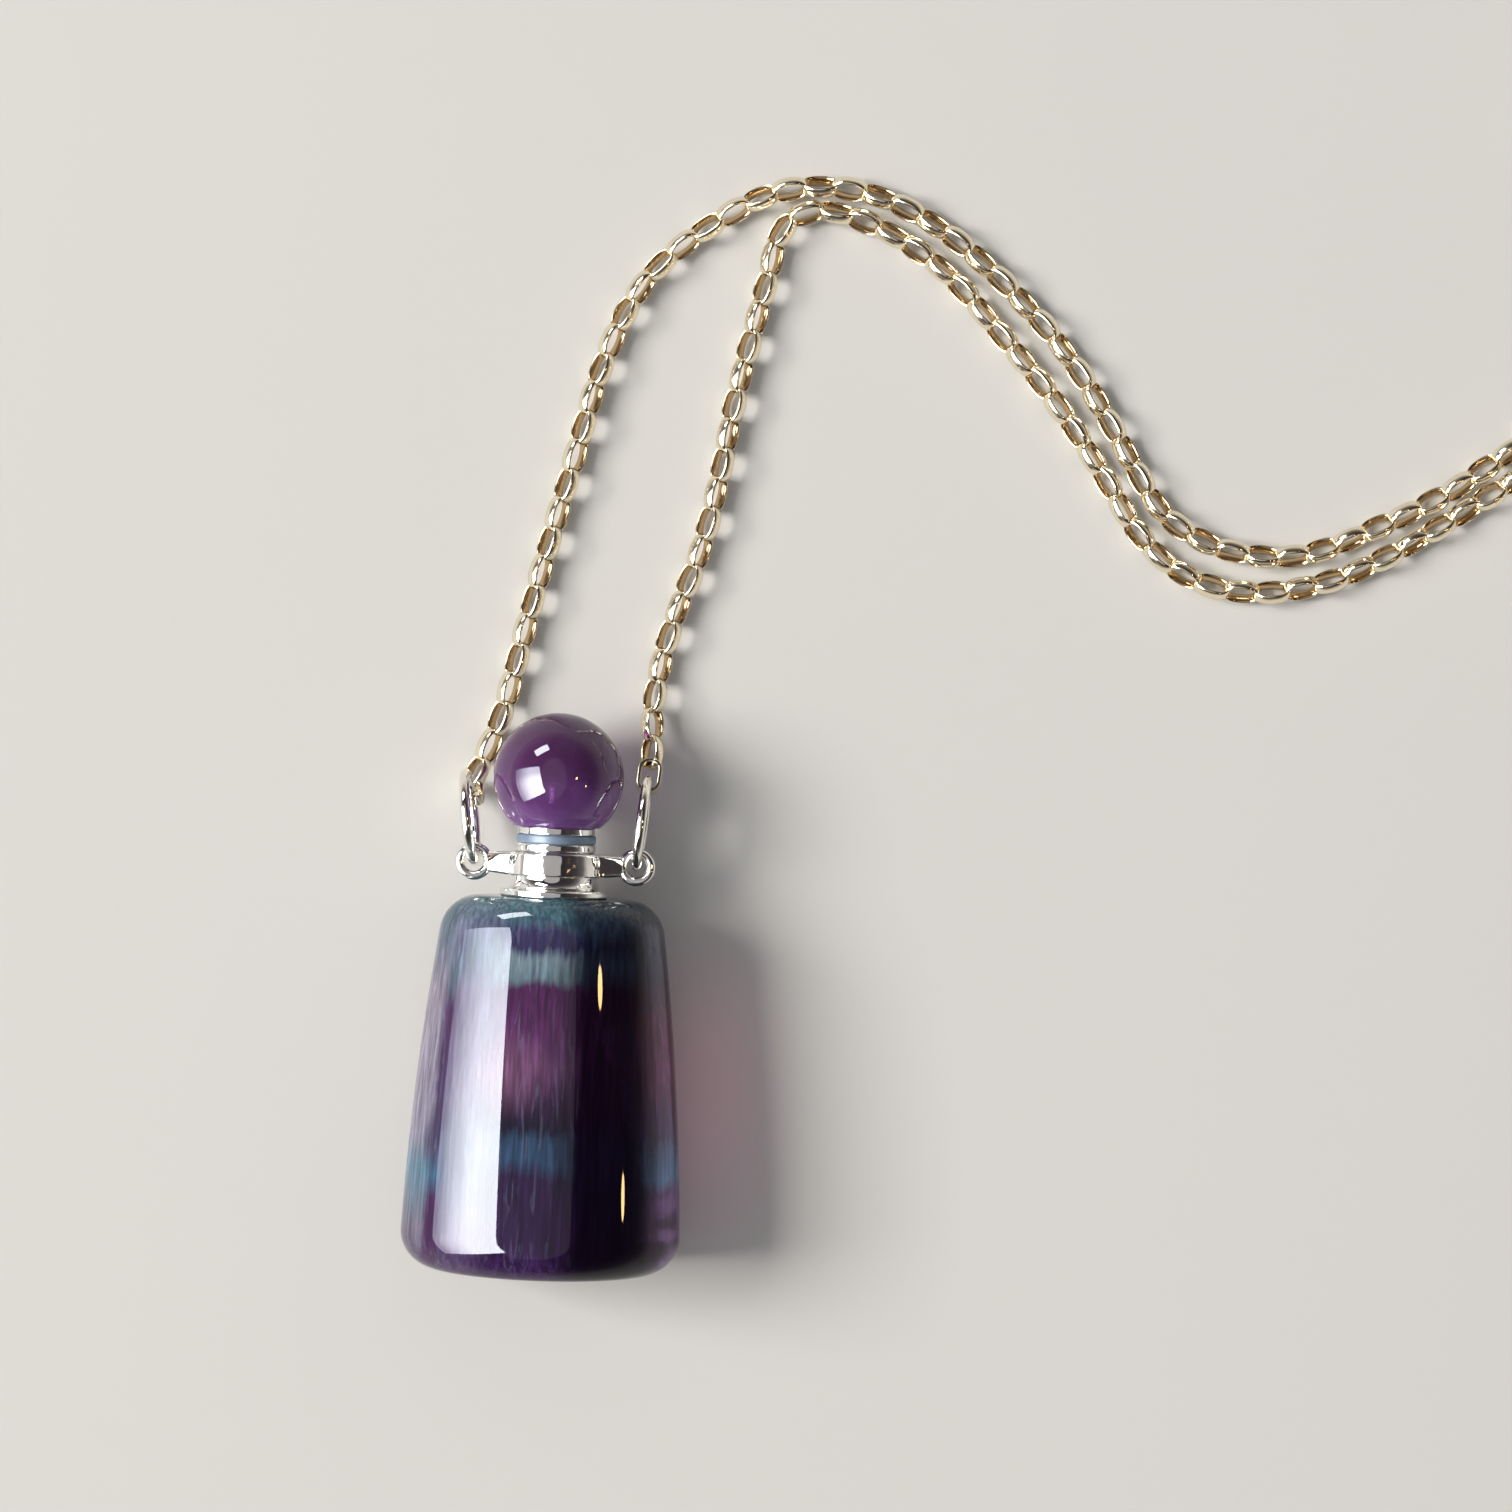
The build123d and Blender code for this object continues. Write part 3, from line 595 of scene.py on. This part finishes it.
RIGHT_ROUTE = [
    (6.98, 18.1, 2.9), (6.8, 20.5, 1.7), (6.9, 23.6, 1.0), (7.9, 28.4, 1.0), (9.9, 33.8, 1.0),
    (11.2, 39.5, 1.0), (12.0, 45.2, 1.0), (13.2, 50.8, 1.0), (14.4, 55.8, 1.0), (15.2, 60.2, 1.0),
    (18.4, 61.7, 1.0), (23.4, 60.2, 1.0), (28.4, 57.1, 1.0), (32.7, 52.4, 1.0), (37.2, 47.4, 1.0),
    (41.2, 41.7, 1.0), (44.4, 36.5, 1.0), (48.6, 33.4, 1.0), (54.0, 32.7, 1.0), (59.6, 34.0, 1.0),
    (65.0, 36.8, 1.0), (72.6, 42.0, 1.0), (78.6, 46.1, 1.0), (85.0, 49.6, 1.0),
]


def coil_points(centre, start_angle, turns, way):
    """A flat spiral's control points: its turns lie a track apart, and way is 1 or -1."""
    step = 360.0 / COIL_POINTS_PER_TURN
    outset = 1 / math.cos(math.radians(step / 2))
    count = round(turns * COIL_POINTS_PER_TURN)
    points = []
    for index in range(1, count + 1):
        done = index / COIL_POINTS_PER_TURN
        radius = (COIL_RADIUS - TRACK_PITCH * done) * outset
        angle = math.radians(start_angle + way * 360.0 * done)
        x = centre[0] + radius * math.cos(angle)
        y = centre[1] + radius * math.sin(angle)
        points.append((x, y, CHAIN_HEIGHT))
    return points


def last_link_tip(node, direction):
    """The far inside end of a CAD last link, where the chain's own last link hooks in, in millimetres."""
    low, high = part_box(node)
    angle = math.radians(direction)
    return (
        ((low[0] + high[0]) / 2 + INNER_HALF * math.cos(angle)) / MM,
        ((low[1] + high[1]) / 2 + INNER_HALF * math.sin(angle)) / MM,
        CHAIN_HEIGHT,
    )


def smooth_line(points):
    """The points of a quadratic NURBS line through the route, in metres."""
    curve = bpy.data.curves.new("route", "CURVE")
    curve.dimensions = "3D"
    spline = curve.splines.new("NURBS")
    spline.points.add(len(points) - 1)
    for control, (x, y, z) in zip(spline.points, points):
        control.co = (x * MM, y * MM, z * MM, 1)
    spline.order_u = 3
    spline.use_endpoint_u = True
    spline.resolution_u = 24
    holder = bpy.data.objects.new("route", curve)
    mesh = bpy.data.meshes.new_from_object(holder)
    line = [vertex.co.copy() for vertex in mesh.vertices]
    bpy.data.objects.remove(holder)
    bpy.data.curves.remove(curve)
    bpy.data.meshes.remove(mesh)
    return line


def line_length(line):
    """The length of a polyline."""
    return sum((b - a).length for a, b in zip(line, line[1:]))


def place_along(line, distances):
    """Point and direction at each distance along a polyline."""
    found = []
    travelled = 0.0
    index = 0
    for distance in distances:
        while index < len(line) - 2 and travelled + (line[index + 1] - line[index]).length < distance:
            travelled += (line[index + 1] - line[index]).length
            index += 1
        run = line[index + 1] - line[index]
        found.append((line[index] + run.normalized() * (distance - travelled), run.normalized()))
    return found


def signed_power(value, power):
    """A power that keeps the value's sign."""
    return math.copysign(abs(value) ** power, value)


def link_shape():
    """One band link's points, rings of section points round its outline."""
    half_length = (LINK_LENGTH - LINK_WALL) / 2
    half_width = (LINK_WIDTH - LINK_WALL) / 2

    def outline(turn):
        """The band's middle line."""
        return Vector((
            half_length * signed_power(math.cos(turn), LINK_SQUARENESS),
            half_width * signed_power(math.sin(turn), LINK_SQUARENESS),
            0,
        ))

    points = []
    for index in range(LINK_OUTLINE_POINTS):
        turn = 2 * math.pi * (index + 0.5) / LINK_OUTLINE_POINTS
        tangent = (outline(turn + SMALL_TURN) - outline(turn - SMALL_TURN)).normalized()
        outward = Vector((tangent.y, -tangent.x, 0))
        for corner in range(LINK_SECTION_POINTS):
            around = 2 * math.pi * corner / LINK_SECTION_POINTS
            across = signed_power(math.cos(around), BAND_SQUARENESS) * LINK_WALL / 2
            along_band = signed_power(math.sin(around), BAND_SQUARENESS) * LINK_BAND / 2
            points.append(outline(turn) + outward * across + Vector((0, 0, along_band)))
    return points


def link_faces(first):
    """The faces of one link, whose points are numbered from the first one on."""
    faces = []
    for ring in range(LINK_OUTLINE_POINTS):
        following = (ring + 1) % LINK_OUTLINE_POINTS
        for corner in range(LINK_SECTION_POINTS):
            beside = (corner + 1) % LINK_SECTION_POINTS
            faces.append((
                first + ring * LINK_SECTION_POINTS + corner,
                first + ring * LINK_SECTION_POINTS + beside,
                first + following * LINK_SECTION_POINTS + beside,
                first + following * LINK_SECTION_POINTS + corner,
            ))
    return faces


def link_turn(direction, roll):
    """The matrix that lays a link along a direction and rolls it about that direction."""
    side = Vector((0, 0, 1)).cross(direction).normalized()
    upward = direction.cross(side)
    width_axis = side * math.cos(roll) + upward * math.sin(roll)
    return Matrix((direction, width_axis, direction.cross(width_axis))).transposed()


def mark_inner_faces(mesh):
    """Writes 1 on the points that face into their link, where the painted shade goes, and 0 on the others.
    """
    quarter = LINK_SECTION_POINTS / 4
    one_ring = [1.0 if quarter < corner < 3 * quarter else 0.0 for corner in range(LINK_SECTION_POINTS)]
    values = one_ring * (len(mesh.vertices) // LINK_SECTION_POINTS)
    mesh.attributes.new("inside", "FLOAT", "POINT").data.foreach_set("value", values)


def chain_of_links(name, line):
    """Links at an even pitch along a line, each rolled the other way from the one before."""
    span = line_length(line) - FIRST_LINK_ALONG - INNER_HALF
    count = round(span / LINK_PITCH) + 1
    distances = [FIRST_LINK_ALONG + span * index / (count - 1) for index in range(count)]
    shape = link_shape()
    points = []
    faces = []
    for index, (middle, direction) in enumerate(place_along(line, distances)):
        roll = LINK_ROLLS[index % 2] + random.uniform(-LINK_ROLL_PLAY, LINK_ROLL_PLAY)
        turn = link_turn(direction, math.radians(roll))
        faces.extend(link_faces(len(points)))
        points.extend(middle + turn @ point for point in shape)
    mesh = bpy.data.meshes.new(name)
    mesh.from_pydata([tuple(point) for point in points], [], faces)
    mesh.shade_smooth()
    mark_inner_faces(mesh)
    mesh.update()
    chain = bpy.data.objects.new(name, mesh)
    bpy.context.scene.collection.objects.link(chain)
    print(name, "has", count, "links over", round(line_length(line) / MM, 1), "mm")
    return chain


def add_chain(side, mat, route, coil, last_link_direction):
    """One strand, from the end link on its jump ring to the last link in its coil."""
    tip = last_link_tip(f"{side}_last_link", last_link_direction)
    line = smooth_line(route + coil_points(**coil) + [tip])
    chain = chain_of_links(f"{side}_chain", line)
    chain.data.materials.append(mat)
    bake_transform(chain)
    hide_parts(f"{side}_chain_upper", f"{side}_chain_run", f"{side}_chain_coil")


def add_chains(mat):
    """Both strands: the left one ends in the clasp and the right one in the end ring."""
    add_chain("left", mat, LEFT_ROUTE, LEFT_COIL, CLASP_DIRECTION)
    add_chain("right", mat, RIGHT_ROUTE, RIGHT_COIL, END_RING_DIRECTION)


# ---- clasp spring ----

CLASP_RADIUS = 2.5 * MM
SPRING_SPAN = (206.0, 332.0)    # degrees round from the clasp's eye
SPRING_RADIUS = 0.26 * MM
SPRING_WIRE_RADIUS = 0.075 * MM
SPRING_TURNS = 11
SPRING_STEPS_PER_TURN = 16


def spring_points():
    """The coiled wire's middle line, wound round the middle line of the clasp's ring."""
    joints = frame["record"]["behaviour"]["joints"]
    centre = Vector(next(joint["pos_m"] for joint in joints if joint["name"] == "clasp_slide"))
    first, last = SPRING_SPAN
    steps = SPRING_TURNS * SPRING_STEPS_PER_TURN
    points = []
    for step in range(steps + 1):
        angle = math.radians(CLASP_DIRECTION + first + (last - first) * step / steps)
        twist = 2 * math.pi * step / SPRING_STEPS_PER_TURN
        reach = CLASP_RADIUS + SPRING_RADIUS * math.cos(twist)
        offset = Vector((reach * math.cos(angle), reach * math.sin(angle), SPRING_RADIUS * math.sin(twist)))
        points.append(tuple(centre + offset))
    return points


def add_clasp_spring(mat):
    """A coiled wire inside the clasp's ring."""
    points = spring_points()
    curve = bpy.data.curves.new("spring_line", "CURVE")
    curve.dimensions = "3D"
    curve.bevel_depth = SPRING_WIRE_RADIUS
    curve.use_fill_caps = True
    spline = curve.splines.new("POLY")
    spline.points.add(len(points) - 1)
    for control, point in zip(spline.points, points):
        control.co = (*point, 1)
    holder = bpy.data.objects.new("spring_line", curve)
    mesh = bpy.data.meshes.new_from_object(holder)
    bpy.data.objects.remove(holder)
    bpy.data.curves.remove(curve)
    mesh.materials.clear()
    mesh.materials.append(mat)
    mesh.shade_smooth()
    spring = bpy.data.objects.new("clasp_coil", mesh)
    bpy.context.scene.collection.objects.link(spring)
    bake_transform(spring)
    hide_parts("clasp_spring")


# ---- bottle ----

BOTTLE_HEIGHT = 28.5 * MM
SHOULDER_RADIUS = 8.2 * MM
BELLY_RADIUS = 9.85 * MM
BELLY_DEPTH = 13.2 * MM
BASE_RADIUS = 10.75 * MM
SHOULDER_ROUNDING = 3.0 * MM
BASE_ROUNDING = 2.8 * MM
THICKNESS_RATIO = 0.68
AXIS_HEIGHT = 6.3 * MM
RESERVOIR_RADIUS = 2.5 * MM
RESERVOIR_DEPTH = 12.0 * MM
BOTTLE_SEGMENTS = 192
SIDE_STEPS = 40
ROUNDING_STEPS = 14
BASE_RING_SHARES = (0.25, 0.5, 0.75)    # extra rings on the flat base, from its middle to its rim
TOP_RING_SHARES = (0.66, 0.33)          # extra rings on the flat top, from its rim to the reservoir
SHARP_ANGLE = 35.0                      # degrees between faces that still shade as one surface


def circle_through(first, second, third):
    """The centre and radius of the circle through three points."""
    middle_one, middle_two = (first + second) / 2, (second + third) / 2
    along_one, along_two = second - first, third - second
    matrix = Matrix((along_one, along_two))
    centre = matrix.inverted() @ Vector((along_one.dot(middle_one), along_two.dot(middle_two)))
    return centre, (first - centre).length


def rounded_corner(side_centre, side_radius, rounding, height):
    """The centre of a rounding that touches the side's circle from inside, and lies at a given height."""
    reach = side_radius - rounding
    return Vector((side_centre.x + math.sqrt(reach ** 2 - (height - side_centre.y) ** 2), height))


def arc_points(centre, radius, start, end, steps):
    """Points on an arc between two angles, both ends included."""
    angles = [start + (end - start) * step / steps for step in range(steps + 1)]
    return [centre + radius * Vector((math.cos(angle), math.sin(angle))) for angle in angles]


def bottle_outline():
    """Half the bottle's outline from its base's rim to its top, as radius and height over the base."""
    side_centre, side_radius = circle_through(
        Vector((SHOULDER_RADIUS, BOTTLE_HEIGHT)),
        Vector((BELLY_RADIUS, BOTTLE_HEIGHT - BELLY_DEPTH)),
        Vector((BASE_RADIUS, 0)),
    )
    base = rounded_corner(side_centre, side_radius, BASE_ROUNDING, BASE_ROUNDING)
    shoulder = rounded_corner(side_centre, side_radius, SHOULDER_ROUNDING, BOTTLE_HEIGHT - SHOULDER_ROUNDING)
    low_angle = math.atan2(base.y - side_centre.y, base.x - side_centre.x)
    high_angle = math.atan2(shoulder.y - side_centre.y, shoulder.x - side_centre.x)
    return (
        arc_points(base, BASE_ROUNDING, -math.pi / 2, low_angle, ROUNDING_STEPS)
        + arc_points(side_centre, side_radius, low_angle, high_angle, SIDE_STEPS)[1:-1]
        + arc_points(shoulder, SHOULDER_ROUNDING, high_angle, math.pi / 2, ROUNDING_STEPS)
    )


def bottle_rings():
    """Radius, height and flattening of each ring, up the outside and down into the reservoir."""
    outline = bottle_outline()
    rim = outline[0].x
    mouth, top = outline[-1]
    tip = BOTTLE_HEIGHT - RESERVOIR_DEPTH + RESERVOIR_RADIUS
    outside = [(rim * share, 0.0) for share in BASE_RING_SHARES]
    outside += [tuple(point) for point in outline]
    outside += [(mouth * share + RESERVOIR_RADIUS * (1 - share), top) for share in TOP_RING_SHARES]
    inside = [(RESERVOIR_RADIUS, top), (RESERVOIR_RADIUS, (top + tip) / 2)]
    for step in range(ROUNDING_STEPS):
        angle = math.pi / 2 * step / ROUNDING_STEPS
        inside.append((RESERVOIR_RADIUS * math.cos(angle), tip - RESERVOIR_RADIUS * math.sin(angle)))
    rings = [(radius, height, THICKNESS_RATIO) for radius, height in outside]
    return rings + [(radius, height, 1.0) for radius, height in inside]


def bottle_points(rings, base_y):
    """The points of every ring, with one point in the middle of the base and one at the reservoir's end."""
    points = [(0, base_y, AXIS_HEIGHT)]
    for radius, height, ratio in rings:
        for step in range(BOTTLE_SEGMENTS):
            turn = 2 * math.pi * step / BOTTLE_SEGMENTS
            z = AXIS_HEIGHT + radius * ratio * math.sin(turn)
            points.append((radius * math.cos(turn), base_y + height, max(z, 0.0)))
    points.append((0, base_y + BOTTLE_HEIGHT - RESERVOIR_DEPTH, AXIS_HEIGHT))
    return points


def bottle_faces(ring_count):
    """Faces between the rings, and fans at both ends."""
    faces = []
    last = 1 + ring_count * BOTTLE_SEGMENTS
    for step in range(BOTTLE_SEGMENTS):
        beside = (step + 1) % BOTTLE_SEGMENTS
        faces.append((0, 1 + step, 1 + beside))
        faces.append((last, last - BOTTLE_SEGMENTS + beside, last - BOTTLE_SEGMENTS + step))
        for ring in range(ring_count - 1):
            here = 1 + ring * BOTTLE_SEGMENTS
            following = here + BOTTLE_SEGMENTS
            faces.append((here + step, following + step, following + beside, here + beside))
    return faces


def add_bottle(mat):
    """The turned outline, squeezed from front to back, flat where it lies, with the reservoir inside."""
    rings = bottle_rings()
    base_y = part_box("crystal_bottle")[0][1]
    mesh = bpy.data.meshes.new("bottle")
    mesh.from_pydata(bottle_points(rings, base_y), [], bottle_faces(len(rings)))
    mesh.shade_smooth()
    mesh.set_sharp_from_angle(angle=math.radians(SHARP_ANGLE))
    mesh.materials.append(mat)
    bottle = bpy.data.objects.new("bottle", mesh)
    bpy.context.scene.collection.objects.link(bottle)
    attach(bottle, "root")
    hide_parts("crystal_bottle")


# ---- putting it together ----

def finish_nodes(bright):
    """The materials of the pieces that keep their CAD shape."""
    worked = silver_material("worked_silver", PLATE_COLOUR, roughness=0.04, wear=0.06, dents=0.045 * MM)
    wire = silver_material("wire_silver", WIRE_COLOUR, roughness=0.05, wear=0.08)
    warm = silver_material("chain_silver", CHAIN_COLOUR, roughness=0.08, wear=0.10)
    for node in ("neck_sleeve", "stopper_cap", "ball_pin", "clasp_body", "clasp_bolt"):
        paint(node, bright)
    paint("yoke_collar", worked)
    for node in ("left_jump_ring", "right_jump_ring", "clasp_ring", "end_ring"):
        paint(node, wire)
    for node in ("left_end_link", "right_end_link", "left_last_link", "right_last_link"):
        paint(node, warm)
    paint("gasket", seal_material())
    paint("stopper_ball", bead_material())


def build():
    """Camera and added pieces first, then the finishes, the floor and the light."""
    bright = silver_material("bright_silver", PLATE_COLOUR, roughness=0.04, wear=0.06, dents=0.012 * MM)
    links = silver_material("link_silver_shaded_inside", CHAIN_COLOUR, roughness=0.08, wear=0.10,
                            inner_shade_colour=LINK_INSIDE_SHADE_COLOUR)
    add_camera()
    add_chains(links)
    add_bottle(crystal_material())
    add_clasp_spring(bright)
    finish_nodes(bright)
    add_floor()
    add_world()
    add_lights()


build()
